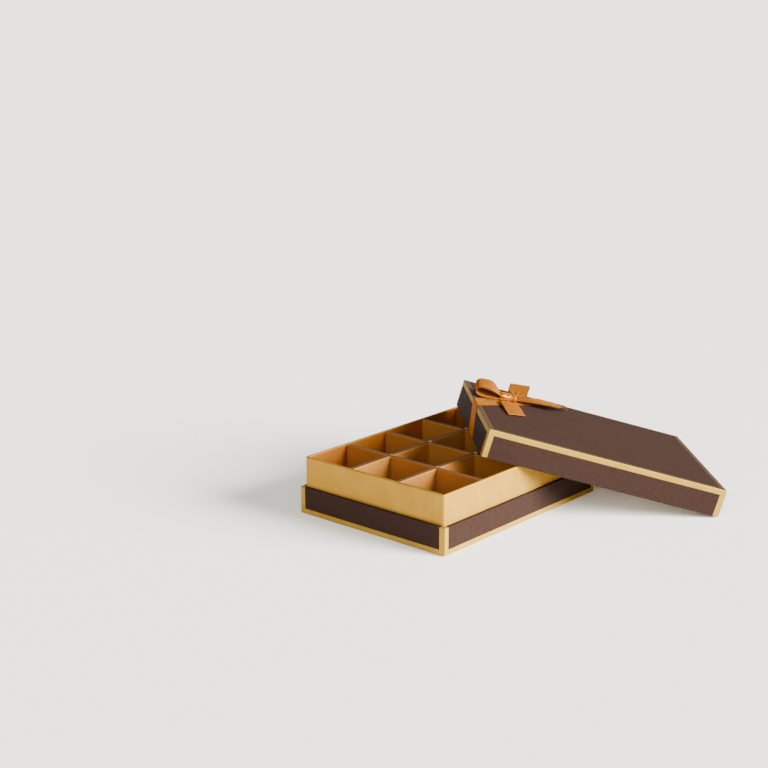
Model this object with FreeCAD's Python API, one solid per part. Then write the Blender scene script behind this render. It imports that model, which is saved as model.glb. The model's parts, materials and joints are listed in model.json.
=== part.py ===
import FreeCAD, Part
import math
import os

# A rigid paper chocolate box: a shallow base tray, a tall neck that stands in it, a grid of folded dividers,
# and a lid with a ribbon across one corner. The box is open, and the lid leans across the right corner of
# the neck with its lower end on the table.
# Millimetres. The origin is the middle of the base's underside, +Z is up, +X runs along the long side and
# +Y along the short side. The lid is built level, about the middle of its rim plane, and then laid to lean.

V = FreeCAD.Vector
UP = V(0, 0, 1)

# Outside of the box
box_length = 150.0
box_width = 112.0
base_height = 17.0
neck_rise = 18.6
lid_height = 17.5
lid_ease = 0.4
corner_radius = 0.6
face_edge_radius = 0.5
neck_corner_radius = 1.8
neck_edge_radius = 0.5
neck_inner_radius = 0.3
board_edge_cut = 0.2

# Sheet stock
tray_board = 1.8
neck_stock = 1.5
wrap_paper = 0.15
panel_paper = 0.2
liner_paper = 0.15
divider_card = 0.5

# Gold left bare round the brown panels, and how far the wrap is turned in behind the rim
end_border = 4.0
edge_border = 3.6
turn_in = 9.0
liner_play = 0.2

# Divider grid
cell_count_along = 4
cell_count_across = 3
divider_width = 3.3
divider_end_play = 0.3
divider_drop = 0.3
divider_fold_radius = 0.7
slot_play = 0.2
slot_depth_share = 0.5

# Ribbon strap: where its middle crosses the lid's back and left edges, measured from the back left corner
ribbon_width = 13.0
ribbon_thick = 0.3
strap_on_back = 61.0
strap_on_left = 54.7

# Bow: the knot's place along the strap and its size
knot_place_share = 0.445
knot_length = 9.0
knot_width = 8.0
knot_height = 5.6
knot_shoulder_share = 0.45
bow_waist = 7.0
bow_flare = 9.0

# Bow loops: how far they reach from the knot's middle, and how round and how high they lie
upper_loop_reach = 26.0
left_loop_reach = 28.5
loop_round = 3.7
loop_foot = 1.2
loop_neck_low = 3.1
loop_neck_high = 4.75
loop_bulge = 1.1
upper_loop_turn_deg = 25.0
left_loop_turn_deg = 148.0

# Bow tails: how far the two edges of each slanting end reach, and how high the tails arch
right_tail_left_edge = 44.5
right_tail_right_edge = 33.0
right_tail_arch = 4.6
lower_tail_left_edge = 28.0
lower_tail_right_edge = 39.5
lower_tail_arch = 2.2
tail_root = 0.7
tail_tip = 0.05
right_tail_turn_deg = -34.0
lower_tail_turn_deg = 224.0
tail_crest_share = 0.5

# Lean of the lid: its turn about the vertical, how far its upper end hangs over the neck, and its gaps at
# its rests, at the neck's corner under its ceiling, and at the table
lean_turn_deg = 44.0
lean_overhang = 24.4
lean_gap = 0.3
corner_gap = 0.2
table_gap = 0.2

overrun = 1.0
same_place = 0.001

# Sizes that follow
wall = panel_paper + wrap_paper + tray_board + wrap_paper
floor_top = panel_paper + wrap_paper + tray_board
neck_wall = wrap_paper + neck_stock + wrap_paper
neck_top = base_height + neck_rise
neck_length = box_length - 2 * wall
neck_width = box_width - 2 * wall
inner_length = neck_length - 2 * neck_wall
inner_width = neck_width - 2 * neck_wall
lid_length = box_length + 2 * lid_ease
lid_width = box_width + 2 * lid_ease


def plate(length, width, radius, bottom, top):
    """A level plate about the Z axis, with its upright edges rounded."""
    block = Part.makeBox(length, width, top - bottom, V(-length / 2, -width / 2, bottom))
    if radius <= 0:
        return block
    uprights = [edge for edge in block.Edges if edge.BoundBox.ZMax - edge.BoundBox.ZMin > radius]
    return block.makeFillet(radius, uprights)


def level_edges(shape, height):
    """The edges that lie level at one height."""
    boxes = [(edge, edge.BoundBox) for edge in shape.Edges]
    low = height - same_place
    return [edge for edge, box in boxes if box.ZMin > low and box.ZMax < height + same_place]


def prism(points, along):
    """A closed outline of straight runs, carried along a vector."""
    return Part.Face(Part.makePolygon(points + points[:1])).extrude(along)


def turned(shape, degrees):
    """A copy turned about the Z axis."""
    copy = shape.copy()
    copy.rotate(V(0, 0, 0), UP, degrees)
    return copy


def wall_panel(span, reach, height):
    """Brown paper on the wall that faces -Y, from its border up to the rim and folded over the rim."""
    rim = height
    fold = rim - panel_paper
    section = [
        V(-span / 2, -reach, edge_border),
        V(-span / 2, -reach, rim),
        V(-span / 2, wall - reach, rim),
        V(-span / 2, wall - reach, fold),
        V(-span / 2, panel_paper - reach, fold),
        V(-span / 2, panel_paper - reach, edge_border),
    ]
    return prism(section, V(span, 0, 0))


def covered_tray(length, width, height):
    """An open tray of board with its gold wrap and its brown panels, standing on its face panel."""
    wrap_length = length - 2 * panel_paper
    wrap_width = width - 2 * panel_paper
    rim = height - panel_paper
    board_outside = plate(
        wrap_length - 2 * wrap_paper,
        wrap_width - 2 * wrap_paper,
        corner_radius - wrap_paper,
        panel_paper + wrap_paper,
        rim - wrap_paper,
    )
    face_edges = level_edges(board_outside, panel_paper + wrap_paper)
    board_outside = board_outside.makeChamfer(board_edge_cut, face_edges)
    hollow_length = length - 2 * (wall - wrap_paper)
    hollow_width = width - 2 * (wall - wrap_paper)
    hollow = plate(hollow_length, hollow_width, 0, floor_top, height + overrun)
    board = board_outside.cut(hollow)
    mouth = plate(length - 2 * wall, width - 2 * wall, 0, floor_top, height + overrun)
    below_turn_in = plate(hollow_length, hollow_width, 0, floor_top, rim - turn_in)
    wrap = plate(wrap_length, wrap_width, corner_radius, panel_paper, rim)
    wrap = wrap.makeFillet(face_edge_radius, level_edges(wrap, panel_paper))
    wrap = wrap.cut(board).cut(mouth).cut(below_turn_in)
    long_span = length - 2 * end_border
    short_span = width - 2 * end_border
    long_panel = wall_panel(long_span, width / 2, height)
    short_panel = wall_panel(short_span, length / 2, height)
    return {
        "tray_board": board,
        "gold_wrap": wrap,
        "front_panel": long_panel,
        "right_panel": turned(short_panel, 90),
        "back_panel": turned(long_panel, 180),
        "left_panel": turned(short_panel, 270),
        "face_panel": plate(long_span, short_span, 0, 0, panel_paper),
    }


def base_pieces():
    """The base tray, its floor liner and the neck glued inside it."""
    tray = covered_tray(box_length, box_width, base_height)
    tray["underside_panel"] = tray.pop("face_panel")
    pieces = {"base_" + name: shape for name, shape in tray.items()}
    pieces["base_floor_liner"] = plate(
        inner_length - 2 * liner_play,
        inner_width - 2 * liner_play,
        0,
        floor_top,
        floor_top + liner_paper,
    )
    board = plate(
        neck_length - 2 * wrap_paper,
        neck_width - 2 * wrap_paper,
        neck_corner_radius - wrap_paper,
        floor_top,
        neck_top - wrap_paper,
    )
    board_hollow = plate(
        inner_length + 2 * wrap_paper,
        inner_width + 2 * wrap_paper,
        neck_inner_radius + wrap_paper,
        floor_top - overrun,
        neck_top + overrun,
    )
    board = board.cut(board_hollow)
    board = board.makeChamfer(board_edge_cut, level_edges(board, neck_top - wrap_paper))
    hollow = plate(inner_length, inner_width, neck_inner_radius, floor_top - overrun, neck_top + overrun)
    wrap = plate(neck_length, neck_width, neck_corner_radius, floor_top, neck_top).cut(hollow)
    wrap = wrap.makeFillet(neck_edge_radius, level_edges(wrap, neck_top))
    pieces["neck_board"] = board
    pieces["neck_gold_wrap"] = wrap.cut(board)
    return pieces


def folded_divider(length, bottom, top):
    """Card folded over into an upside-down channel along X, its two walls standing on the floor."""
    half = divider_width / 2
    inner = half - divider_card
    ridge = top - divider_card
    section = [
        V(-length / 2, -half, bottom),
        V(-length / 2, -half, top),
        V(-length / 2, half, top),
        V(-length / 2, half, bottom),
        V(-length / 2, inner, bottom),
        V(-length / 2, inner, ridge),
        V(-length / 2, -inner, ridge),
        V(-length / 2, -inner, bottom),
    ]
    channel = prism(section, V(length, 0, 0))
    long_edges = [edge for edge in channel.Edges if edge.Length > 2 * divider_width]
    folds = [edge for edge in long_edges if edge.BoundBox.ZMin > ridge]
    return channel.makeFillet(divider_fold_radius, folds)


def spread(count, room):
    """Middles of the dividers that part a room into equal cells."""
    cell = (room - (count - 1) * divider_width) / count
    pitch = cell + divider_width
    return [pitch * (i + 1 - count / 2) for i in range(count - 1)]


def slot(place, length_side, bottom, top):
    """A cut across a divider along X that takes the divider crossing it at a place."""
    gap = divider_width + 2 * slot_play
    return Part.makeBox(gap, length_side, top - bottom, V(place - gap / 2, -length_side / 2, bottom))


def divider_grid():
    """Long dividers slotted from the top and cross dividers slotted from below, halved over each other."""
    bottom = floor_top + liner_paper
    top = neck_top - divider_drop
    half_way = bottom + (top - bottom) * slot_depth_share
    along = spread(cell_count_along, inner_length)
    across = spread(cell_count_across, inner_width)
    cut_width = divider_width + 2 * overrun
    pieces = {}
    for number, y in enumerate(across, 1):
        strip = folded_divider(inner_length - 2 * divider_end_play, bottom, top)
        for x in along:
            strip = strip.cut(slot(x, cut_width, half_way, top + overrun))
        strip.translate(V(0, y, 0))
        pieces[f"long_divider_{number}"] = strip
    for number, x in enumerate(along, 1):
        strip = folded_divider(inner_width - 2 * divider_end_play, bottom, top)
        for y in across:
            strip = strip.cut(slot(y, cut_width, bottom - overrun, half_way))
        strip = turned(strip, 90)
        strip.translate(V(x, 0, 0))
        pieces[f"cross_divider_{number}"] = strip
    return pieces


# The strap's line on the lid's top, from the left edge to the back edge
strap_angle = math.atan2(strap_on_left, strap_on_back)
strap_start = V(-lid_length / 2, lid_width / 2 - strap_on_left, lid_height)
strap_end = V(strap_on_back - lid_length / 2, lid_width / 2, lid_height)
strap_half_on_left = ribbon_width / 2 / math.cos(strap_angle)
strap_half_on_back = ribbon_width / 2 / math.sin(strap_angle)


def ribbon_strap():
    """Ribbon laid slantwise over the lid's top and straight on down the left and back skirts to the rim."""
    drift_left = math.tan(strap_angle)
    drift_back = 1 / drift_left
    left = -lid_length / 2 - ribbon_thick
    back = lid_width / 2 + ribbon_thick
    left_middle = strap_start.y - ribbon_thick * drift_left
    back_middle = strap_end.x + ribbon_thick * drift_back
    top = prism(
        [
            V(left, left_middle - strap_half_on_left, lid_height),
            V(back_middle + strap_half_on_back, back, lid_height),
            V(back_middle - strap_half_on_back, back, lid_height),
            V(left, left_middle + strap_half_on_left, lid_height),
        ],
        V(0, 0, ribbon_thick),
    )
    left_foot = strap_start.y - lid_height * drift_left
    on_left = prism(
        [
            V(left, strap_start.y - strap_half_on_left, lid_height),
            V(left, strap_start.y + strap_half_on_left, lid_height),
            V(left, left_foot + strap_half_on_left, 0),
            V(left, left_foot - strap_half_on_left, 0),
        ],
        V(ribbon_thick, 0, 0),
    )
    back_foot = strap_end.x + lid_height * drift_back
    on_back = prism(
        [
            V(strap_end.x - strap_half_on_back, back, lid_height),
            V(strap_end.x + strap_half_on_back, back, lid_height),
            V(back_foot + strap_half_on_back, back, 0),
            V(back_foot - strap_half_on_back, back, 0),
        ],
        V(0, -ribbon_thick, 0),
    )
    return top.fuse(on_left).fuse(on_back).removeSplitter()


def plan_outline(points, height):
    """An upright prism over an outline in plan, used to trim a ribbon band to its width and its ends."""
    return prism([V(x, y, -overrun) for x, y in points], V(0, 0, height + 2 * overrun))


def bow_loop(reach):
    """A ribbon loop along +X: out along the lid, round the fold, and back over the top to the knot."""
    root = knot_length / 2
    low = V(root, 0, loop_neck_low)
    foot = V(reach - loop_round, 0, loop_foot)
    nose = V(reach, 0, loop_foot + loop_round)
    crest = V(reach - loop_round, 0, loop_foot + 2 * loop_round)
    high = V(root, 0, loop_neck_high)
    swell = V((root + reach - loop_round) / 2, 0, (crest.z + high.z) / 2 + loop_bulge)
    edges = [
        Part.makeLine(low, foot),
        Part.Arc(foot, nose, crest).toShape(),
        Part.Arc(crest, swell, high).toShape(),
        Part.makeLine(high, low),
    ]
    outside = Part.Face(Part.Wire(edges))
    inside = outside.makeOffset2D(-ribbon_thick)
    band = outside.cut(inside).extrude(V(0, ribbon_width, 0))
    band.translate(V(0, -ribbon_width / 2, 0))
    waist = bow_waist / 2
    half = ribbon_width / 2
    outline = plan_outline(
        [
            (root, -waist),
            (root + bow_flare, -half),
            (reach + overrun, -half),
            (reach + overrun, half),
            (root + bow_flare, half),
            (root, waist),
        ],
        crest.z,
    )
    return band.common(outline)


def bow_tail(left_edge, right_edge, arch):
    """A ribbon end along +X that arches up from the knot and comes down to a slanting cut on the lid."""
    root = knot_length / 2
    reach = max(left_edge, right_edge)
    start = V(root, 0, tail_root)
    tip = V(reach, 0, tail_tip)
    crest = V(root + (reach - root) * tail_crest_share, 0, arch)
    lift = V(0, 0, ribbon_thick)
    edges = [
        Part.Arc(start, crest, tip).toShape(),
        Part.makeLine(tip, tip + lift),
        Part.Arc(tip + lift, crest + lift, start + lift).toShape(),
        Part.makeLine(start + lift, start),
    ]
    band = Part.Face(Part.Wire(edges)).extrude(V(0, ribbon_width, 0))
    band.translate(V(0, -ribbon_width / 2, 0))
    waist = bow_waist / 2
    half = ribbon_width / 2
    outline = plan_outline(
        [
            (root, -waist),
            (root + bow_flare, -half),
            (right_edge, -half),
            (left_edge, half),
            (root + bow_flare, half),
            (root, waist),
        ],
        arch,
    )
    return band.common(outline)


def bow_knot():
    """The band wound round the middle of the bow: an arched section along the strap."""
    half = knot_width / 2
    shoulder = knot_height * knot_shoulder_share
    back = -knot_length / 2
    edges = [
        Part.makeLine(V(back, half, 0), V(back, -half, 0)),
        Part.makeLine(V(back, -half, 0), V(back, -half, shoulder)),
        Part.Arc(V(back, -half, shoulder), V(back, 0, knot_height), V(back, half, shoulder)).toShape(),
        Part.makeLine(V(back, half, shoulder), V(back, half, 0)),
    ]
    return Part.Face(Part.Wire(edges)).extrude(V(knot_length, 0, 0))


def bow_pieces():
    """The loops, tails and knot, turned about the knot and set on the strap."""
    knot = bow_knot()
    right_tail = bow_tail(right_tail_left_edge, right_tail_right_edge, right_tail_arch)
    lower_tail = bow_tail(lower_tail_left_edge, lower_tail_right_edge, lower_tail_arch)
    pieces = {
        "bow_knot": knot,
        "bow_upper_loop": turned(bow_loop(upper_loop_reach), upper_loop_turn_deg).cut(knot),
        "bow_left_loop": turned(bow_loop(left_loop_reach), left_loop_turn_deg).cut(knot),
        "bow_right_tail": turned(right_tail, right_tail_turn_deg).cut(knot),
        "bow_lower_tail": turned(lower_tail, lower_tail_turn_deg).cut(knot),
    }
    middle = strap_start + (strap_end - strap_start) * knot_place_share + V(0, 0, ribbon_thick)
    on_strap = FreeCAD.Placement(middle, FreeCAD.Rotation(UP, math.degrees(strap_angle)))
    for shape in pieces.values():
        shape.Placement = on_strap.multiply(shape.Placement)
    return pieces


def lid_pieces():
    """The lid, level, with its rim plane at zero height."""
    tray = covered_tray(lid_length, lid_width, lid_height)
    tray["liner"] = plate(
        lid_length - 2 * wall,
        lid_width - 2 * wall,
        0,
        floor_top,
        floor_top + liner_paper,
    )
    tray["top_panel"] = tray.pop("face_panel")
    tray["front_panel"], tray["back_panel"] = tray["back_panel"], tray["front_panel"]
    pieces = {}
    for name, shape in tray.items():
        shape.rotate(V(0, 0, 0), V(1, 0, 0), 180)
        shape.translate(V(0, 0, lid_height))
        pieces["lid_" + name] = shape
    pieces["ribbon_strap"] = ribbon_strap()
    pieces.update(bow_pieces())
    return pieces


def clear_turn(rest_span, tilt):
    """The lid's turn as chosen, or the most that keeps its ceiling off the neck's corner if that is less.

    The corner lies under the lid, off the line between the rests by the height of a right-angled triangle
    that stands on that line, which is half the line times the sine of twice the turn.
    """
    wanted = math.radians(lean_turn_deg)
    room = lid_height - floor_top - liner_paper - corner_gap + lean_gap * math.cos(tilt)
    most = 2 * room / (rest_span * math.sin(tilt))
    if math.sin(2 * wanted) <= most:
        return wanted
    return math.asin(most) / 2


def lean_placement():
    """The inner edges of both long rims rest on the neck's outer top edges, and the lower end on the table.

    The line between the two rests is level and square to the lid's length. It spans the lid's inner width
    across the neck's corner, so the turn gives both rests. The tilt follows from the neck's height and from
    the lid's length below the rests.
    """
    rest_span = lid_width - 2 * wall
    rest_height = neck_top + lean_gap
    tilt = math.asin((rest_height - table_gap) / (lid_length - lean_overhang))
    turn = clear_turn(rest_span, tilt)
    along = V(math.cos(turn) * math.cos(tilt), -math.sin(turn) * math.cos(tilt), -math.sin(tilt))
    across = V(math.sin(turn), math.cos(turn), 0)
    front_rest = V(neck_length / 2 - rest_span * math.sin(turn), -neck_width / 2, rest_height)
    middle = front_rest + along * (lid_length / 2 - lean_overhang) + across * (rest_span / 2)
    up = along.cross(across)
    matrix = FreeCAD.Matrix(
        along.x, across.x, up.x, middle.x,
        along.y, across.y, up.y, middle.y,
        along.z, across.z, up.z, middle.z,
        0, 0, 0, 1,
    )
    return FreeCAD.Placement(matrix)


def main():
    os.makedirs("parts", exist_ok=True)
    pieces = base_pieces()
    pieces.update(divider_grid())
    leaning = lean_placement()
    for name, shape in lid_pieces().items():
        shape.Placement = leaning.multiply(shape.Placement)
        pieces[name] = shape
    for name, shape in pieces.items():
        shape.exportStep(os.path.join("parts", name + ".step"))
        print(name, len(shape.Solids), shape.isValid(), round(shape.Volume, 1))


main()
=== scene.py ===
# %% [markdown]
# A chocolate box of board and paper, open, with its lid leaning on it. The board, the papers and the dividers
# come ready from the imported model. This lesson gives them their finishes, ties the satin bow on the lid, and
# sets the table, the lights and the camera.

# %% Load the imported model
import json
import math
import bmesh
import bpy
import numpy as np
from mathutils import Matrix, Vector
from mathutils.geometry import interpolate_bezier


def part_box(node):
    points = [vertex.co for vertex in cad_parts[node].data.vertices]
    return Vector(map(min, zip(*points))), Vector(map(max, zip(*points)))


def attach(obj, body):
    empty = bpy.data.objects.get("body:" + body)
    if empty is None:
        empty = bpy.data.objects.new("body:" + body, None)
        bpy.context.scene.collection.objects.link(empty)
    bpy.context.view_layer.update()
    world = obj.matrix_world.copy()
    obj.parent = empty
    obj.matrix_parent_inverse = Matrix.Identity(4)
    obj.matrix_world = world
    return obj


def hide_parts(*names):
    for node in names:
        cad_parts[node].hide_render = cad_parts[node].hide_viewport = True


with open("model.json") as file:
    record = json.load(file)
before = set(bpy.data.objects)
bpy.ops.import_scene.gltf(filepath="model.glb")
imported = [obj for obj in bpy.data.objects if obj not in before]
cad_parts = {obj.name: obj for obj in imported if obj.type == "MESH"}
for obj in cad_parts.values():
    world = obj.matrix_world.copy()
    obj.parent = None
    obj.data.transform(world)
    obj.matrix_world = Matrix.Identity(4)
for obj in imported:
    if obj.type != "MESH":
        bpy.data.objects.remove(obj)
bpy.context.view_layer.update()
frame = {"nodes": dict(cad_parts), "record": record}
nodes = frame["nodes"]
MM = 0.001

# %% [markdown]
# The photograph was taken with a long lens, a little above the table, with the box's front corner towards the
# camera. A camera in Blender looks along its own -Z, so it is turned to track a point on the table.

# %% Camera
camera_place = Vector((-0.7081, -0.5646, 0.3202))
camera_aim = Vector((0.1831, 0.2144, 0))
lens_in_pixels = 1547.5
photo_width = 768
sensor_width = 36

camera_data = bpy.data.cameras.new("camera")
camera_data.sensor_width = sensor_width
camera_data.lens = lens_in_pixels / photo_width * sensor_width
camera = bpy.data.objects.new("camera", camera_data)
camera.location = camera_place
camera.rotation_euler = (camera_aim - camera_place).to_track_quat("-Z", "Y").to_euler()
bpy.context.scene.collection.objects.link(camera)
bpy.context.scene.camera = camera
print("lens", round(camera_data.lens, 1), "mm")

# %% [markdown]
# Materials are node trees. One function adds a node with its settings and its links, and one turns the sRGB hex
# values that a colour picker gives into the linear values that a shader works with.


# %% Helpers for materials
def linear(hex_colour):
    """An sRGB hex colour as linear RGBA."""
    parts = [int(hex_colour[i:i + 2], 16) / 255 for i in (1, 3, 5)]
    return [c / 12.92 if c <= 0.04045 else ((c + 0.055) / 1.055) ** 2.4 for c in parts] + [1]


def add(tree, kind, inputs=None, **settings):
    """A node of a kind, with its settings, and with each named input set to a value or linked to a socket."""
    made = tree.nodes.new(kind)
    for name, value in settings.items():
        setattr(made, name, value)
    for name, value in (inputs or {}).items():
        if isinstance(value, bpy.types.NodeSocket):
            tree.links.new(value, made.inputs[name])
        else:
            made.inputs[name].default_value = value
    return made


def per_metre(millimetres):
    """The texture scale that repeats a pattern at a size given in millimetres."""
    return 1 / (millimetres * MM)


def new_material(name):
    """An empty node material."""
    material = bpy.data.materials.new(name)
    material.use_nodes = True
    material.node_tree.nodes.clear()
    return material, material.node_tree


def finish_material(tree, shader):
    """Joins a shader to the material's output."""
    add(tree, "ShaderNodeOutputMaterial", {"Surface": shader.outputs["BSDF"]})


# %% [markdown]
# The table is a plain white sweep, wide enough to fill the view and to show in the gold. A little unevenness in
# its roughness keeps it from looking like plastic.

# %% Table
table_reach = 40
table_grain = 4

material, tree = new_material("matt_white_table")
place = add(tree, "ShaderNodeTexCoord")
grain = add(tree, "ShaderNodeTexNoise", {
    "Vector": place.outputs["Object"], "Scale": per_metre(table_grain), "Detail": 3})
rough = add(tree, "ShaderNodeMapRange", {"Value": grain.outputs["Fac"], "To Min": 0.75, "To Max": 0.9})
finish_material(tree, add(tree, "ShaderNodeBsdfPrincipled", {
    "Base Color": linear("#f6f5f3"), "Roughness": rough.outputs["Result"], "Specular IOR Level": 0.2}))

bm = bmesh.new()
bmesh.ops.create_grid(bm, x_segments=1, y_segments=1, size=table_reach)
mesh = bpy.data.meshes.new("table")
bm.to_mesh(mesh)
bm.free()
table = bpy.data.objects.new("table", mesh)
mesh.materials.append(material)
bpy.context.scene.collection.objects.link(table)
print("table", 2 * table_reach, "m wide")

# %% [markdown]
# The key light stands low on the right of the camera: the long walls are bright, the top is darker and the short
# walls are darker still. A weak fill on the camera's left opens the shadows in the cells and in the bow. Sun lamps
# light the whole table evenly, and a wide angle makes each one a softbox. A grey world is what the gold sees when
# it looks up.

# %% Lights
world_strength = 0.32
world_colour = (1, 0.95, 0.88, 1)
for name, towards, energy, degrees, colour in (
        ("key", (0.32, -0.885, 0.31), 23.5, 32, (1, 0.97, 0.93)),
        ("fill", (-0.75, -0.35, 0.55), 4.2, 60, (1, 0.96, 0.9))):
    lamp = bpy.data.lights.new(name, "SUN")
    lamp.energy = energy
    lamp.angle = math.radians(degrees)
    lamp.color = colour
    lamp_object = bpy.data.objects.new(name, lamp)
    lamp_object.rotation_euler = Vector(towards).to_track_quat("Z", "Y").to_euler()
    bpy.context.scene.collection.objects.link(lamp_object)
    print(name, energy)

world = bpy.data.worlds.new("grey_studio")
world.use_nodes = True
world.node_tree.nodes["Background"].inputs["Color"].default_value = world_colour
world.node_tree.nodes["Background"].inputs["Strength"].default_value = world_strength
bpy.context.scene.world = world
print("world", world_strength)

# %% [markdown]
# The lid leans, so its own directions are read from its packed top panel: the panel's points spread most along the
# long side, less along the short side and least along the normal. What is laid on the lid is modelled on a level
# one, in millimetres from the middle of its top, and one matrix carries it over.

# %% The lid's own directions
panel_corners = np.unique(np.round([v.co for v in nodes["lid_top_panel"].data.vertices], 6), axis=0)
panel_middle = panel_corners.mean(axis=0)
long_side, _, normal = (Vector(row) for row in np.linalg.svd(panel_corners - panel_middle)[2])
if normal.z < 0:
    normal.negate()
if long_side.z > 0:
    long_side.negate()
short_side = normal.cross(long_side)
panel_rise = max((Vector(corner) - Vector(panel_middle)).dot(normal) for corner in panel_corners)
lid_top = Vector(panel_middle) + normal * panel_rise
on_lid = Matrix((long_side, short_side, normal)).transposed().to_4x4()
on_lid.translation = lid_top
on_lid = on_lid @ Matrix.Scale(MM, 4)
print("lid top", [round(c, 4) for c in lid_top], "normal", [round(c, 3) for c in normal])

# %% [markdown]
# Two papers cover the board. The gold one is a metallised paper that mirrors the table softly. The fibres of the
# paper under the metal show as a faint unevenness in its colour and its gloss. A join is where two cut ends of the
# paper meet, and it shows as a fine dark line. Seen at a glancing angle, such a metal would turn a deep yellow, so
# its glancing reflection is tinted blue, which keeps it a dull gold.


# %% Gold paper
paper_metal = 0.95


def gold_grain(tree, place, colours):
    """The fibres of a metallised paper, with the colour and the roughness that they give it."""
    fibre = 0.9
    mottle = 11
    fibres = add(tree, "ShaderNodeTexNoise", {
        "Vector": place.outputs["Object"], "Scale": per_metre(fibre), "Detail": 5, "Roughness": 0.65})
    clouds = add(tree, "ShaderNodeTexNoise", {
        "Vector": place.outputs["Object"], "Scale": per_metre(mottle), "Detail": 3})
    uneven = add(tree, "ShaderNodeMath", {0: fibres.outputs["Fac"], 1: clouds.outputs["Fac"]}, operation="ADD")
    shade = add(tree, "ShaderNodeMapRange", {
        "Value": uneven.outputs["Value"], "From Min": 0.7, "From Max": 1.3})
    tint = add(tree, "ShaderNodeMix", {
        "Factor": shade.outputs["Result"], "A": linear(colours[0]), "B": linear(colours[1])}, data_type="RGBA")
    rough = add(tree, "ShaderNodeMapRange", {"Value": fibres.outputs["Fac"], "To Min": 0.5, "To Max": 0.66})
    return fibres, tint, rough


def draw_join(tree, tint, seam, depth):
    """The paper's colour with a join drawn into it as a dark line."""
    line_colour = linear("#6e4a12")
    faint = add(tree, "ShaderNodeMath", {0: seam.outputs["Value"], 1: depth}, operation="MULTIPLY")
    return add(tree, "ShaderNodeMix", {
        "Factor": faint.outputs["Value"], "A": tint.outputs["Result"], "B": line_colour}, data_type="RGBA")


def finish_gold(tree, fibres, tint, rough, metal):
    """Joins a metallised paper's grain, colour and gloss in one shader."""
    glancing_tint = linear("#8898d4")
    bump = add(tree, "ShaderNodeBump", {
        "Height": fibres.outputs["Fac"], "Strength": 0.2, "Distance": 0.05 * MM})
    finish_material(tree, add(tree, "ShaderNodeBsdfPrincipled", {
        "Base Color": tint.outputs["Result"], "Metallic": metal, "Roughness": rough.outputs[0],
        "Specular Tint": glancing_tint, "Normal": bump.outputs["Normal"]}))


# %% [markdown]
# The wraps of the base and the lid are cut at each corner, and the cut ends meet in an upright join there. A
# corner is where the normal looks half along one side and half along the other. Where the lid's gold looks up,
# its colour is turned to a dull grey-brown: painted shade, standing in for the dark room that the metal reflects.


# %% Gold wraps
def gold_wrap(name, sides, shaded_side=None):
    """Gold paper on a tray, with a join at each corner, and painted shade where it looks along a given side."""
    corner_share = 0.3
    join_depth = 0.8
    # painted shade: the dull grey-brown of the gold where it looks up
    top_shade_colour = linear("#6a553c")
    material, tree = new_material(name)
    place = add(tree, "ShaderNodeTexCoord")
    fibres, tint, rough = gold_grain(tree, place, ("#a08130", "#b29138"))
    along, across = (add(tree, "ShaderNodeVectorMath", {
        0: place.outputs["Normal"], 1: side}, operation="DOT_PRODUCT") for side in sides)
    both = add(tree, "ShaderNodeMath", {
        0: along.outputs["Value"], 1: across.outputs["Value"]}, operation="MULTIPLY")
    edge = add(tree, "ShaderNodeMath", {0: both.outputs["Value"]}, operation="ABSOLUTE")
    seam = add(tree, "ShaderNodeMath", {0: edge.outputs["Value"], 1: corner_share}, operation="GREATER_THAN")
    tint = draw_join(tree, tint, seam, join_depth)
    # Painted shade: where the gold looks along the shaded side, its colour is mixed towards a dull grey-brown.
    if shaded_side is not None:
        facing = add(tree, "ShaderNodeVectorMath", {
            0: place.outputs["Normal"], 1: shaded_side}, operation="DOT_PRODUCT")
        top_shade = add(tree, "ShaderNodeMapRange", {
            "Value": facing.outputs["Value"], "From Min": 0.7, "From Max": 0.95})
        tint = add(tree, "ShaderNodeMix", {
            "Factor": top_shade.outputs["Result"], "A": tint.outputs["Result"], "B": top_shade_colour}, data_type="RGBA")
    finish_gold(tree, fibres, tint, rough, paper_metal)
    return material


gold_base = gold_wrap("gold_metallised_paper_base", (Vector((1, 0, 0)), Vector((0, 1, 0))))
gold_lid = gold_wrap("gold_metallised_paper_lid", (long_side, short_side), shaded_side=normal)
print("gold wraps", gold_base.name, gold_lid.name)
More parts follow.
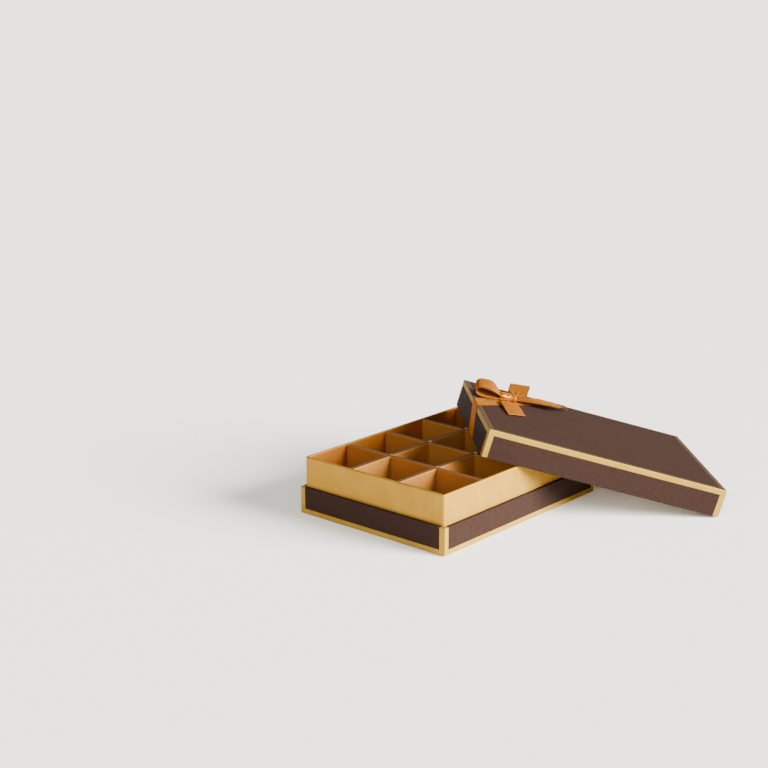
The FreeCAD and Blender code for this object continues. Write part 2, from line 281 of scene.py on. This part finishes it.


# %% [markdown]
# The neck's wrap is one long strip of a slightly warmer gold, and its two ends meet in a join on the left wall.
# Inside the neck the strip is glossier and a little less metallic, and its colour is turned a deeper orange there:
# painted shade of the recess. The place of a point says whether it is inside, because the box is level and square
# to the axes.


# %% Gold neck
def gold_strip(name, inside_halves, join_place):
    """Gold paper round the neck, with one join on the left wall, and glossy inside, with painted shade there."""
    join_width = 0.3
    join_depth = 0.35
    # painted shade: the deeper orange of the walls inside the neck
    inside_shade_colour = linear("#b06a24")
    inside_shade_share = 0.85
    inside_gloss = 0.24
    inside_metal = 0.85
    material, tree = new_material(name)
    place = add(tree, "ShaderNodeTexCoord")
    fibres, tint, rough = gold_grain(tree, place, ("#a27a28", "#b48a32"))
    axes = add(tree, "ShaderNodeSeparateXYZ", {"Vector": place.outputs["Object"]})
    line = add(tree, "ShaderNodeMath", {
        0: axes.outputs["Y"], 1: join_place * MM, 2: join_width / 2 * MM}, operation="COMPARE")
    on_left = add(tree, "ShaderNodeMath", {0: axes.outputs["X"], 1: 0}, operation="LESS_THAN")
    seam = add(tree, "ShaderNodeMath", {
        0: line.outputs["Value"], 1: on_left.outputs["Value"]}, operation="MULTIPLY")
    tint = draw_join(tree, tint, seam, join_depth)
    within = []
    for axis, half in zip("XY", inside_halves):
        distance = add(tree, "ShaderNodeMath", {0: axes.outputs[axis]}, operation="ABSOLUTE")
        within.append(add(tree, "ShaderNodeMath", {0: distance.outputs["Value"], 1: half}, operation="LESS_THAN"))
    inside = add(tree, "ShaderNodeMath", {
        0: within[0].outputs["Value"], 1: within[1].outputs["Value"]}, operation="MULTIPLY")
    # Painted shade: inside the neck the colour is mixed towards a deeper orange.
    inside_shade = add(tree, "ShaderNodeMath", {0: inside.outputs["Value"], 1: inside_shade_share}, operation="MULTIPLY")
    tint = add(tree, "ShaderNodeMix", {
        "Factor": inside_shade.outputs["Value"], "A": tint.outputs["Result"], "B": inside_shade_colour}, data_type="RGBA")
    smoother = add(tree, "ShaderNodeMath", {0: inside.outputs["Value"], 1: inside_gloss}, operation="MULTIPLY")
    rough = add(tree, "ShaderNodeMath", {
        0: rough.outputs["Result"], 1: smoother.outputs["Value"]}, operation="SUBTRACT")
    metal = add(tree, "ShaderNodeMapRange", {
        "Value": inside.outputs["Value"], "To Min": paper_metal, "To Max": inside_metal})
    finish_gold(tree, fibres, tint, rough, metal.outputs["Result"])
    return material


neck_join = -45.2
liner_play = 0.6
neck_inside = [side + liner_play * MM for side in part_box("base_floor_liner")[1][:2]]
gold_neck = gold_strip("gold_metallised_paper_neck", neck_inside, neck_join)
print("gold neck", gold_neck.name, "inside", [round(side, 4) for side in neck_inside])


# %% [markdown]
# The dividers are folded from thicker card of the same gold, its colour set darker and more orange than the
# wraps' as painted shade of the cells. Only its faces are metallised: where the card is cut, at its ends and in
# its slots, the white pulp of its core shows. A divider runs along one axis and every cut is square to it, so the
# direction that a face looks in tells a cut from a face. Where the card looks up, along the fold on top, its colour
# is darker still: painted shade, standing in for the dark room that the metal reflects.


# %% Gold card
def gold_card(name, axis):
    """Metallised card, painted darker as shade and darker still where it looks up, with a white core on its cuts.
    """
    fibre = 0.8
    cut_share = 0.9
    face_metal = 0.55
    top_shade_colour = linear("#6e5034")
    core_colour = linear("#cbbda8")
    glancing_tint = linear("#9098a8")
    material, tree = new_material(name)
    place = add(tree, "ShaderNodeTexCoord")
    fibres = add(tree, "ShaderNodeTexNoise", {
        "Vector": place.outputs["Object"], "Scale": per_metre(fibre), "Detail": 5, "Roughness": 0.65})
    facing = add(tree, "ShaderNodeSeparateXYZ", {"Vector": place.outputs["Normal"]})
    square = add(tree, "ShaderNodeMath", {0: facing.outputs[axis]}, operation="ABSOLUTE")
    cut = add(tree, "ShaderNodeMath", {0: square.outputs["Value"], 1: cut_share}, operation="GREATER_THAN")
    gold = add(tree, "ShaderNodeMix", {
        # Painted shade: the card's gold is set darker and more orange than the wraps' gold.
        "Factor": fibres.outputs["Fac"], "A": linear("#8b5a25"), "B": linear("#a16b33")}, data_type="RGBA")
    # Painted shade: where the card looks up its colour is mixed towards a dark brown.
    crest = add(tree, "ShaderNodeMapRange", {"Value": facing.outputs["Z"], "From Min": 0.7, "From Max": 0.9})
    top_shade = add(tree, "ShaderNodeMix", {
        "Factor": crest.outputs["Result"], "A": gold.outputs["Result"], "B": top_shade_colour}, data_type="RGBA")
    tint = add(tree, "ShaderNodeMix", {
        "Factor": cut.outputs["Value"], "A": top_shade.outputs["Result"], "B": core_colour}, data_type="RGBA")
    metal = add(tree, "ShaderNodeMapRange", {"Value": cut.outputs["Value"], "To Min": face_metal, "To Max": 0})
    gloss = add(tree, "ShaderNodeMapRange", {"Value": fibres.outputs["Fac"], "To Min": 0.28, "To Max": 0.4})
    rough = add(tree, "ShaderNodeMath", {
        0: gloss.outputs["Result"], 1: cut.outputs["Value"]}, operation="MAXIMUM")
    bump = add(tree, "ShaderNodeBump", {
        "Height": fibres.outputs["Fac"], "Strength": 0.2, "Distance": 0.05 * MM})
    finish_material(tree, add(tree, "ShaderNodeBsdfPrincipled", {
        "Base Color": tint.outputs["Result"], "Metallic": metal.outputs["Result"],
        "Roughness": rough.outputs["Value"], "Specular IOR Level": 0.1, "Specular Tint": glancing_tint,
        "Normal": bump.outputs["Normal"]}))
    return material


card_along = gold_card("gold_metallised_card_long", "X")
card_across = gold_card("gold_metallised_card_cross", "Y")
print("gold card", card_along.name, card_across.name)


# %% [markdown]
# The brown paper is dyed in the pulp and has no coating, so it is matt, with fine fibres that show as light and
# dark specks.


# %% Brown paper
def brown_paper():
    """Uncoated dyed paper with short fibres."""
    fibre = 0.6
    speck = 1.5
    material, tree = new_material("brown_dyed_paper")
    place = add(tree, "ShaderNodeTexCoord")
    fibres = add(tree, "ShaderNodeTexNoise", {
        "Vector": place.outputs["Object"], "Scale": per_metre(fibre), "Detail": 6, "Roughness": 0.7})
    specks = add(tree, "ShaderNodeTexNoise", {
        "Vector": place.outputs["Object"], "Scale": per_metre(speck), "Detail": 4})
    mixed = add(tree, "ShaderNodeMath", {0: fibres.outputs["Fac"], 1: specks.outputs["Fac"]}, operation="ADD")
    shade = add(tree, "ShaderNodeMapRange", {"Value": mixed.outputs["Value"], "From Min": 0.7, "From Max": 1.3})
    tint = add(tree, "ShaderNodeMix", {
        "Factor": shade.outputs["Result"], "A": linear("#241713"), "B": linear("#2e201b")}, data_type="RGBA")
    bump = add(tree, "ShaderNodeBump", {
        "Height": fibres.outputs["Fac"], "Strength": 0.35, "Distance": 0.08 * MM})
    finish_material(tree, add(tree, "ShaderNodeBsdfPrincipled", {
        "Base Color": tint.outputs["Result"], "Roughness": 0.8, "Specular IOR Level": 0.06,
        "Specular Tint": linear("#f4e6d8"), "Normal": bump.outputs["Normal"]}))
    return material


brown = brown_paper()
print("brown paper", brown.name)


# %% [markdown]
# Inside, the box shows what it is made of. Greyboard is pressed from waste paper, so it is a dull grey with light
# and dark fibres in it. The lid's ceiling is lined with a plain cream paper, which is smoother.


# %% Greyboard and lining paper
def plain_paper(name, colour, dark_colour, fibre, roughness):
    """Uncoated paper or board, mottled by fibres of a given width."""
    unevenness = 0.05
    material, tree = new_material(name)
    place = add(tree, "ShaderNodeTexCoord")
    fibres = add(tree, "ShaderNodeTexNoise", {
        "Vector": place.outputs["Object"], "Scale": per_metre(fibre), "Detail": 6, "Roughness": 0.75})
    contrast = add(tree, "ShaderNodeMapRange", {
        "Value": fibres.outputs["Fac"], "From Min": 0.3, "From Max": 0.7})
    tint = add(tree, "ShaderNodeMix", {
        "Factor": contrast.outputs["Result"], "A": linear(dark_colour), "B": linear(colour)}, data_type="RGBA")
    rough = add(tree, "ShaderNodeMapRange", {
        "Value": fibres.outputs["Fac"], "To Min": roughness - unevenness, "To Max": roughness + unevenness})
    bump = add(tree, "ShaderNodeBump", {
        "Height": fibres.outputs["Fac"], "Strength": 0.4, "Distance": 0.08 * MM})
    finish_material(tree, add(tree, "ShaderNodeBsdfPrincipled", {
        "Base Color": tint.outputs["Result"], "Roughness": rough.outputs["Result"], "Specular IOR Level": 0.2,
        "Normal": bump.outputs["Normal"]}))
    return material


greyboard = plain_paper("recycled_greyboard", "#8a857d", "#6f6a63", 1.2, 0.88)
lining = plain_paper("cream_lining_paper", "#cfc4b2", "#c1b5a1", 0.8, 0.8)
print("inside", greyboard.name, lining.name)

# %% [markdown]
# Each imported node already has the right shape, so it only needs its finish. The record says which material slot a
# node belongs to. The lid's wrap, the neck's wrap, the floor liner and the cross dividers get a finish of their
# own.

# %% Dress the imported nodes
dress = {"gold_paper": gold_base, "brown_paper": brown, "greyboard": greyboard, "lining_paper": lining,
         "gold_card": card_along}
own_finish = {"lid_gold_wrap": gold_lid, "neck_gold_wrap": gold_neck, "base_floor_liner": gold_neck,
              "cross_divider_1": card_across, "cross_divider_2": card_across, "cross_divider_3": card_across}
dressed = [row for row in frame["record"]["subparts"] if row["material_slot"] in dress]
for row in dressed:
    mesh = nodes[row["node"]].data
    mesh.materials.clear()
    mesh.materials.append(own_finish.get(row["node"], dress[row["material_slot"]]))
print("dressed", len(dressed))

# %% [markdown]
# The bow is one satin ribbon, 13 mm wide, cut in lengths: a strap glued across a corner of the lid, two loops, two
# tails and the band that is wound round their middle. All of it is modelled on a level lid.
#
# Every length of ribbon starts as a flat grid with a UV map that is measured in metres, so that the weave keeps
# its size whatever the length. The grid is then bent: each point's share of the length and of the width says
# where it goes. A Solidify modifier gives it the ribbon's thickness, and a Subdivision Surface smooths it.


# %% Helpers for ribbon
ribbon_width = 13.0
ribbon_thick = 0.24


def flat_ribbon(length, steps_along, steps_across):
    """A flat ribbon from 0 to its length along X and half its width each way along Y, with a UV map."""
    bm = bmesh.new()
    weave = bm.loops.layers.uv.new("weave")
    bmesh.ops.create_grid(bm, x_segments=steps_along, y_segments=steps_across, size=0.5, calc_uvs=True)
    for face in bm.faces:
        for corner in face.loops:
            corner[weave].uv = (corner[weave].uv.x * length * MM, corner[weave].uv.y * ribbon_width * MM)
    bmesh.ops.translate(bm, vec=(0.5, 0, 0), verts=bm.verts)
    bmesh.ops.scale(bm, vec=(length, ribbon_width, 1), verts=bm.verts)
    return bm


def place_ribbon(name, bm):
    """Lays a bent ribbon on the lid, gives it its thickness, smooths it and sets it in place of the imported part.
    """
    bmesh.ops.transform(bm, matrix=on_lid, verts=bm.verts)
    mesh = bpy.data.meshes.new(name)
    bm.to_mesh(mesh)
    bm.free()
    mesh.materials.append(satin)
    mesh.shade_smooth()
    piece = bpy.data.objects.new(name, mesh)
    bpy.context.scene.collection.objects.link(piece)
    thicken = piece.modifiers.new("ribbon_thickness", "SOLIDIFY")
    thicken.thickness = ribbon_thick * MM
    thicken.offset = 0
    smooth = piece.modifiers.new("smooth", "SUBSURF")
    smooth.levels = 1
    smooth.render_levels = 1
    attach(piece, "lid")
    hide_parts(name.replace("satin_", ""))


# %% [markdown]
# Satin is woven with long floats, so it is smooth and shines in its own colour, in a broad band where it bends.
# Some light goes through the thin cloth, so the inside of a loop glows. A narrow woven edge runs along both sides.
# The floats are far finer than a pixel, and are drawn as streaks about a third of a millimetre wide so that they
# show.


# %% Satin ribbon
def satin_ribbon():
    """Polyester satin: streaks along the ribbon and a narrow woven edge."""
    streak_width = 0.35
    streak_length = 9
    woven_edge = 0.55
    edge_blur = 1.3
    dark_float, light_float = linear("#6b3a0b"), linear("#96591c")
    glancing_tint = linear("#b0a0a0")
    light_depth = 1.2
    material, tree = new_material("polyester_satin_ribbon")
    place = add(tree, "ShaderNodeUVMap", uv_map="weave")
    stretched = add(tree, "ShaderNodeMapping", {
        "Vector": place.outputs["UV"], "Scale": (per_metre(streak_length), per_metre(streak_width), 1)})
    streaks = add(tree, "ShaderNodeTexNoise", {"Vector": stretched.outputs["Vector"], "Scale": 1, "Detail": 3})
    across = add(tree, "ShaderNodeSeparateXYZ", {"Vector": place.outputs["UV"]})
    from_edge = add(tree, "ShaderNodeMath", {
        0: across.outputs["Y"], 1: ribbon_width / 2 * MM}, operation="PINGPONG")
    edge = add(tree, "ShaderNodeMapRange", {
        "Value": from_edge.outputs["Value"], "From Min": woven_edge * MM, "From Max": edge_blur * woven_edge * MM,
        "To Min": 1, "To Max": 0})
    floats = add(tree, "ShaderNodeMix", {
        "Factor": streaks.outputs["Fac"], "A": dark_float, "B": light_float}, data_type="RGBA")
    tint = add(tree, "ShaderNodeMix", {
        "Factor": edge.outputs["Result"], "A": floats.outputs["Result"], "B": dark_float}, data_type="RGBA")
    rough = add(tree, "ShaderNodeMapRange", {"Value": streaks.outputs["Fac"], "To Min": 0.28, "To Max": 0.38})
    ridge = add(tree, "ShaderNodeMath", {
        0: streaks.outputs["Fac"], 1: edge.outputs["Result"]}, operation="ADD")
    bump = add(tree, "ShaderNodeBump", {"Height": ridge.outputs["Value"], "Strength": 0.4, "Distance": 0.05 * MM})
    finish_material(tree, add(tree, "ShaderNodeBsdfPrincipled", {
        "Base Color": tint.outputs["Result"], "Roughness": rough.outputs["Result"], "Metallic": 0.45,
        "Specular IOR Level": 0, "Specular Tint": glancing_tint, "Subsurface Weight": 1,
        "Subsurface Radius": (1, 0.5, 0.15), "Subsurface Scale": light_depth * MM,
        "Normal": bump.outputs["Normal"]}))
    return material


satin = satin_ribbon()
print("satin", satin.name)

# %% [markdown]
# The strap is pulled flat across the corner of the lid and down its left and back skirts. It is cut as one flat
# strip, divided along the lines where it goes over the lid's edges and trimmed at the rims, and then the parts
# beyond the edges are turned down round a small radius.

# %% Strap
lid_half_length = 75.4
lid_half_width = 56.4
skirt = 17.4
left_crossing = 1.7
back_crossing = -14.4
strap_lift = 0.16
fold_radius = 0.5
fold_steps = 3
strap_start = Vector((-lid_half_length, left_crossing, 0))
strap_end = Vector((back_crossing, lid_half_width, 0))
strap_direction = (strap_end - strap_start).normalized()
strap_angle = math.atan2(strap_direction.y, strap_direction.x)
strap_overhang = 45.0
strap_length = (strap_end - strap_start).length + 2 * strap_overhang

bm = flat_ribbon(strap_length, steps_along=60, steps_across=8)
bmesh.ops.translate(bm, vec=(-strap_overhang, 0, 0), verts=bm.verts)
bmesh.ops.rotate(bm, cent=(0, 0, 0), matrix=Matrix.Rotation(strap_angle, 3, "Z"), verts=bm.verts)
bmesh.ops.translate(bm, vec=strap_start, verts=bm.verts)
fold_turn = math.pi / 2 * fold_radius
edges_of_lid = [(Vector((-1, 0, 0)), lid_half_length), (Vector((0, 1, 0)), lid_half_width)]
for outward, half in edges_of_lid:
    for step in range(fold_steps + 1):
        past = fold_turn * step / fold_steps
        bmesh.ops.bisect_plane(bm, geom=bm.verts[:] + bm.edges[:] + bm.faces[:],
                               plane_co=outward * (half - fold_radius + past), plane_no=outward)
    bmesh.ops.bisect_plane(bm, geom=bm.verts[:] + bm.edges[:] + bm.faces[:], clear_outer=True,
                           plane_co=outward * (half - fold_radius + fold_turn + skirt - fold_radius),
                           plane_no=outward)
strap_area = sum(face.calc_area() for face in bm.faces)
for v in bm.verts:
    for outward, half in edges_of_lid:
        past = v.co.dot(outward) - (half - fold_radius)
        if past > 0:
            angle = min(past / fold_radius, math.pi / 2)
            down = max(past - fold_turn, 0)
            bent = (fold_radius + strap_lift) * math.sin(angle) - past
            drop = (fold_radius + strap_lift) * (1 - math.cos(angle)) + down
            v.co += outward * bent - Vector((0, 0, drop))
bmesh.ops.translate(bm, vec=(0, 0, strap_lift), verts=bm.verts)
place_ribbon("satin_ribbon_strap", bm)

# %% [markdown]
# Loops and tails are bent in the same way. The path of the ribbon seen from the side is a chain of Bezier spans,
# as a curve object would have, and each point of the flat grid is carried to its place along that path. Near the
# knot the ribbon is gathered: it narrows, and its spare width goes into pleats.


# %% Helpers for loops and tails
def path_from_spans(spans):
    """For a chain of Bezier spans in X and Z: a function from a share of its length to a point, and its length."""
    steps = 40
    points = [p for span in spans for p in interpolate_bezier(*[Vector((x, 0, z)) for x, z in span], steps)]
    places = np.array([(p.x, p.z) for p in points])
    run = np.concatenate([[0], np.cumsum(np.linalg.norm(np.diff(places, axis=0), axis=1))])

    def at(share):
        return [np.interp(share * run[-1], run, places[:, axis]) for axis in (0, 1)]
    return at, run[-1]


def ease(value, start, end):
    """A smooth step from 0 at the start to 1 at the end."""
    share = min(max((value - start) / (end - start), 0), 1)
    return share * share * (3 - 2 * share)


knot_share = 0.445
knot_waist = 4.8
gather_start = 0.5
pleat_depth = 0.45
crown_power = 1.5
half_ribbon = ribbon_width / 2
knot_place = strap_start + (strap_end - strap_start) * knot_share + Vector((0, 0, 2 * strap_lift))
on_strap = Matrix.Translation(knot_place) @ Matrix.Rotation(strap_angle, 4, "Z")


def bend_ribbon(bm, at, length, lifts, skew, gather_end, pleats, crown=0):
    """Bends a flat ribbon along a path, gathers it at the knot, lifts its right edge, skews it and crowns it."""
    for v in bm.verts:
        share = v.co.x / length
        x, z = at(share)
        y = v.co.y
        spread = ease(x, gather_start, gather_end)
        width_share = (knot_waist + (ribbon_width - knot_waist) * spread) / ribbon_width
        crease = pleat_depth * (1 - spread) * math.cos(pleats * math.pi * y / ribbon_width)
        lift = lifts[0] + (lifts[1] - lifts[0]) * share
        raised = lift * spread * (half_ribbon - y) / ribbon_width
        crowned = crown * spread * (1 - abs(y / half_ribbon) ** crown_power)
        v.co = Vector((x + skew * y * spread, y * width_share, z + crease + raised + crowned))


def turn_on_knot(bm, degrees, along_strap):
    """Turns a length of ribbon about the end of the knot that it leaves, and sets it on the strap."""
    turn = Matrix.Rotation(math.radians(degrees), 4, "Z")
    bmesh.ops.transform(bm, matrix=on_strap @ Matrix.Translation((along_strap, 0, 0)) @ turn, verts=bm.verts)


# %% [markdown]
# Each loop leaves the knot, lies along the lid, turns round at its nose and comes back over itself to the knot.
# The left loop twists on the way, so its far edge comes back higher than its near one.

# %% Loops
loop_pleats = 5
left_loop_spans = [
    [(0, 1.6), (5, 1.2), (10, 0.8), (15, 0.7)],
    [(15, 0.7), (20.4, 0.7), (22.6, 1.9), (22.6, 3.7)],
    [(22.6, 3.7), (22.6, 5.6), (20.8, 6.6), (18, 6.6)],
    [(18, 6.6), (14.5, 6.6), (12.0, 6.1), (9.5, 4.9)],
    [(9.5, 4.9), (7.5, 3.9), (5, 2.6), (0, 2.2)]]
upper_loop_spans = [
    [(0, 1.6), (5, 1.2), (10, 0.8), (15, 0.8)],
    [(15, 0.8), (19.8, 0.8), (22.5, 1.6), (22.5, 3.6)],
    [(22.5, 3.6), (22.5, 5.6), (21.0, 6.6), (18.6, 6.6)],
    [(18.6, 6.6), (12, 6.6), (7, 3.6), (0, 3.2)]]
for name, spans, degrees, along_strap, lifts, skew, gather_end in (
        ("bow_left_loop", left_loop_spans, 143, -4, (1.2, 4.2), 0.16, 13),
        ("bow_upper_loop", upper_loop_spans, 33, 4, (2.0, 2.0), 0, 8)):
    at, length = path_from_spans(spans)
    bm = flat_ribbon(length, steps_along=72, steps_across=12)
    bend_ribbon(bm, at, length, lifts, skew, gather_end, loop_pleats)
    turn_on_knot(bm, degrees, along_strap)
    place_ribbon("satin_" + name, bm)
    print(name, round(length, 1), "mm")

# %% [markdown]
# The tails are the ribbon's two free ends, cut on the slant. The cut is made while the ribbon is still flat, with
# a bisecting plane, and then each tail is bent along its own path: the right one arches over the lid with its near
# edge lifted, and the lower one lies flatter.

# %% Tails
tail_pleats = 3
tail_gather_end = 11
right_tail_spans = [
    [(0, 1.2), (4, 1.6), (7, 2.6), (14, 2.6)],
    [(14, 2.6), (23, 2.6), (32, 1.7), (41, 0.7)]]
lower_tail_spans = [
    [(0, 1.0), (4, 1.0), (8, 1.5), (13, 1.4)],
    [(13, 1.4), (20, 1.2), (27, 0.5), (34.5, 0.35)]]
for name, spans, degrees, along_strap, left_edge, right_edge, lifts, crown in (
        ("bow_right_tail", right_tail_spans, -33, 4, 41.0, 27.0, (0, 2.8), 0.6),
        ("bow_lower_tail", lower_tail_spans, 232, -5.5, 28.5, 34.5, (0, 0), 0.3)):
    at, length = path_from_spans(spans)
    reach = max(left_edge, right_edge)
    bm = flat_ribbon(length, steps_along=56, steps_across=12)
    cut_along = Vector((left_edge - right_edge, ribbon_width, 0))
    cut_through = Vector((length - reach + (left_edge + right_edge) / 2, 0, 0))
    bmesh.ops.bisect_plane(bm, geom=bm.verts[:] + bm.edges[:] + bm.faces[:], clear_outer=True,
                           plane_co=cut_through, plane_no=(cut_along.y, -cut_along.x, 0))
    cut_area = sum(face.calc_area() for face in bm.faces)
    bend_ribbon(bm, at, length, lifts, 0, tail_gather_end, tail_pleats, crown)
    turn_on_knot(bm, degrees, along_strap)
    place_ribbon("satin_" + name, bm)
    print(name, round(length, 1), "mm,", round(cut_area), "mm2")

# %% [markdown]
# A short length is wound round the middle and holds the rest. Seen from its end it is an arch on the strap, and
# along the strap it bunches into one broad fold and one narrow one. The pull on it draws creases into the satin
# that run round it, a little askew, so the creases are a wave across its width that shifts on the way round.


# %% Knot
knot_spans = [
    [(0, 0.1), (2.4, 0.1), (3.6, 0.3), (3.6, 2.2)],
    [(3.6, 2.2), (3.6, 4.2), (2.2, 5.0), (0, 5.0)],
    [(0, 5.0), (-2.2, 5.0), (-3.6, 4.2), (-3.6, 2.2)],
    [(-3.6, 2.2), (-3.6, 0.3), (-2.4, 0.1), (0, 0.1)]]
knot_half_length = 6.3
knot_shift = -3.2
knot_turn = -25
knot_lift = 0.1
knot_askew = 0.7
least_swell = 0.6
broad_middle, broad_half = -0.28, 0.8
narrow_middle, narrow_half, narrow_height = 0.7, 0.36, 0.86
creases = 2.3
crease_depth = 0.035
crease_sway = 0.35
crease_crowding = 0.3
weld_distance = 0.01


def fold_height(along, middle, half):
    """The height of a round fold across the band, from 0 at its sides to 1 in its middle."""
    return max(1 - ((along - middle) / half) ** 2, 0) ** 0.5


at, length = path_from_spans(knot_spans)
bm = flat_ribbon(length, steps_along=48, steps_across=40)
for v in bm.verts:
    round_share = v.co.x / length
    y, z = at(round_share)
    along = v.co.y / half_ribbon
    broad = fold_height(along, broad_middle, broad_half)
    narrow = narrow_height * fold_height(along, narrow_middle, narrow_half)
    sway = crease_sway * math.cos(2 * math.pi * round_share)
    wave = math.cos(2 * math.pi * (creases * along / 2 + sway + crease_crowding * along * along))
    swell = least_swell + (1 - least_swell) * max(broad, narrow) + crease_depth * wave
    askew = knot_askew * math.sin(2 * math.pi * round_share)
    v.co = Vector((along * knot_half_length + knot_shift + askew, y * swell, knot_lift + z * swell))
bmesh.ops.remove_doubles(bm, verts=bm.verts, dist=weld_distance)
turn_on_knot(bm, knot_turn, 0)
place_ribbon("satin_bow_knot", bm)
print("knot band", round(length, 1), "mm round")
